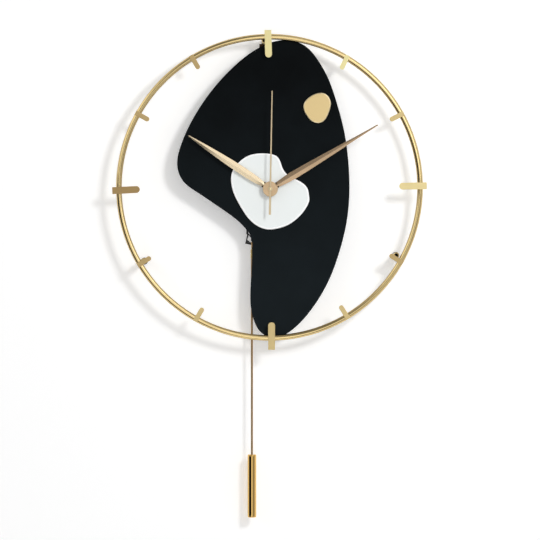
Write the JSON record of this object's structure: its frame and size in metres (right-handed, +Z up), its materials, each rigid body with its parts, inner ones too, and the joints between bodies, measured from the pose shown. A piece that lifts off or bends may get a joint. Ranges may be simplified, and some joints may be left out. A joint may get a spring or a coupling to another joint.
{
  "type": "wall clock with pendulum",
  "caption": "Wall clock: gold ring dial with bar markers, free-form black board with accent plates, faceted hands and a slim rod pendulum.",
  "frame": {"origin": "centre of the nail hole, in the hanger plate's rear face, which lies on the wall", "axes": "+Z up, +Y into the wall so that the dial faces -Y, +X to the viewer's right"},
  "size_m": [0.3907, 0.0439, 0.6062],
  "materials": {
    "plated_steel": "steel, plated gold, satin polish",
    "black_panel": "satin black sheet",
    "pale_panel": "pale satin sheet",
    "gold_panel": "gold satin sheet",
    "gold_hand": "gold anodised, brushed",
    "spacer_steel": "rolled steel, plated gold",
    "hanger_steel": "dark bronze lacquer",
    "fastener_steel": "bright zinc",
    "pad_rubber": "soft black rubber",
    "case_plastic": "moulded black",
    "wheel_plastic": "natural acetal",
    "red_plastic": "moulded dark red",
    "brass": "turned brass",
    "rod_brass": "drawn rod, bronze tint",
    "bob_brass": "mirror polished, lacquered",
    "copper_wire": "enamelled copper, wound",
    "motor_steel": "electrical steel",
    "magnet": "ferrite",
    "circuit": "lacquered laminate",
    "cell_jacket": "plain satin jacket"
  },
  "bodies": {
    "clock_frame": {"dial_ring": "plated_steel", "hour_bar_01": "plated_steel", "hour_bar_02": "plated_steel", "hour_bar_03": "plated_steel", "hour_bar_04": "plated_steel", "hour_bar_05": "plated_steel", "hour_bar_06": "plated_steel", "hour_bar_07": "plated_steel", "hour_bar_08": "plated_steel", "hour_bar_09": "plated_steel", "hour_bar_10": "plated_steel", "hour_bar_11": "plated_steel", "hour_bar_12": "plated_steel", "wall_spacer_04": "spacer_steel", "wall_spacer_08": "spacer_steel", "wall_spacer_12": "spacer_steel", "wall_pads": "pad_rubber", "hanger_plate": "hanger_steel", "dial_board": "black_panel", "pale_centre_plate": "pale_panel", "gold_pebble_plate": "gold_panel", "board_studs": "fastener_steel", "board_sleeves": "brass", "board_nuts": "fastener_steel", "movement_gasket": "pad_rubber", "movement_front_shell": "case_plastic", "movement_rear_cover": "case_plastic", "cover_screws": "fastener_steel", "threaded_bushing": "brass", "bushing_washer": "brass", "fixing_nut": "brass", "middle_plate": "case_plastic", "motor_stator": "motor_steel", "coil_bobbin": "wheel_plastic", "coil_winding": "copper_wire", "circuit_board": "circuit", "aa_cell": "cell_jacket", "cell_contacts": "fastener_steel", "pendulum_drive_box": "case_plastic", "pendulum_drive_cover": "case_plastic", "pivot_pin": "fastener_steel", "drive_coil": "copper_wire"},
    "minute_work": {"cannon_pinion": "wheel_plastic", "minute_hand": "gold_hand"},
    "hour_work": {"hour_wheel": "wheel_plastic", "hour_hand": "gold_hand"},
    "second_work": {"second_wheel": "wheel_plastic", "second_hand": "gold_hand"},
    "centre_work": {"centre_wheel": "wheel_plastic"},
    "third_work": {"third_wheel": "wheel_plastic"},
    "motion_work": {"motion_wheel": "wheel_plastic"},
    "intermediate_work": {"intermediate_wheel": "wheel_plastic"},
    "rotor_work": {"motor_rotor": "magnet"},
    "setting_work": {"setting_knob": "red_plastic"},
    "swing_arm": {"pendulum_arm": "case_plastic", "drive_magnet": "magnet"},
    "pendulum": {"pendulum_rod": "rod_brass", "rod_ferrule": "brass", "pendulum_bob": "bob_brass", "bob_plugs": "bob_brass"}
  },
  "joints": [
    {"name": "minute_hand_turn", "type": "hinge", "parent": "clock_frame", "child": "minute_work", "pos_m": [0.001, -0.03, -0.1702], "axis": [0, 1, 0], "continuous": true},
    {"name": "hour_hand_turn", "type": "hinge", "parent": "clock_frame", "child": "hour_work", "pos_m": [0.001, -0.03, -0.1702], "axis": [0, 1, 0], "continuous": true},
    {"name": "second_hand_turn", "type": "hinge", "parent": "clock_frame", "child": "second_work", "pos_m": [0.001, -0.03, -0.1702], "axis": [0, 1, 0], "continuous": true},
    {"name": "centre_wheel_turn", "type": "hinge", "parent": "clock_frame", "child": "centre_work", "pos_m": [0.001, -0.03, -0.1702], "axis": [0, 1, 0], "continuous": true},
    {"name": "third_wheel_turn", "type": "hinge", "parent": "clock_frame", "child": "third_work", "pos_m": [-0.01245, -0.03, -0.16902], "axis": [0, 1, 0], "continuous": true},
    {"name": "motion_wheel_turn", "type": "hinge", "parent": "clock_frame", "child": "motion_work", "pos_m": [-0.00067, -0.03, -0.16075], "axis": [0, 1, 0], "continuous": true},
    {"name": "intermediate_wheel_turn", "type": "hinge", "parent": "clock_frame", "child": "intermediate_work", "pos_m": [0.01, -0.03, -0.1702], "axis": [0, 1, 0], "continuous": true},
    {"name": "rotor_turn", "type": "hinge", "parent": "clock_frame", "child": "rotor_work", "pos_m": [0.01875, -0.03, -0.1702], "axis": [0, 1, 0], "continuous": true},
    {"name": "setting_knob_turn", "type": "hinge", "parent": "clock_frame", "child": "setting_work", "pos_m": [0.00986, -0.03, -0.15691], "axis": [0, 1, 0], "continuous": true},
    {"name": "swing_arm_hinge", "type": "hinge", "parent": "clock_frame", "child": "swing_arm", "pos_m": [-0.0219, -0.0165, -0.2044], "axis": [0, 1, 0], "range_deg": [-5, 5]},
    {"name": "pendulum_hinge", "type": "hinge", "parent": "swing_arm", "child": "pendulum", "pos_m": [-0.0219, -0.0165, -0.2369], "axis": [0, 1, 0], "range_deg": [-8, 8]}
  ],
  "couplings": [
    {"joint": "hour_hand_turn", "follows": "minute_hand_turn", "ratio": 0.083333},
    {"joint": "second_hand_turn", "follows": "minute_hand_turn", "ratio": 60},
    {"joint": "centre_wheel_turn", "follows": "minute_hand_turn", "ratio": 1},
    {"joint": "third_wheel_turn", "follows": "minute_hand_turn", "ratio": -8},
    {"joint": "motion_wheel_turn", "follows": "minute_hand_turn", "ratio": -0.33333},
    {"joint": "intermediate_wheel_turn", "follows": "minute_hand_turn", "ratio": -300},
    {"joint": "rotor_turn", "follows": "minute_hand_turn", "ratio": 1800},
    {"joint": "setting_knob_turn", "follows": "minute_hand_turn", "ratio": 0.6}
  ]
}
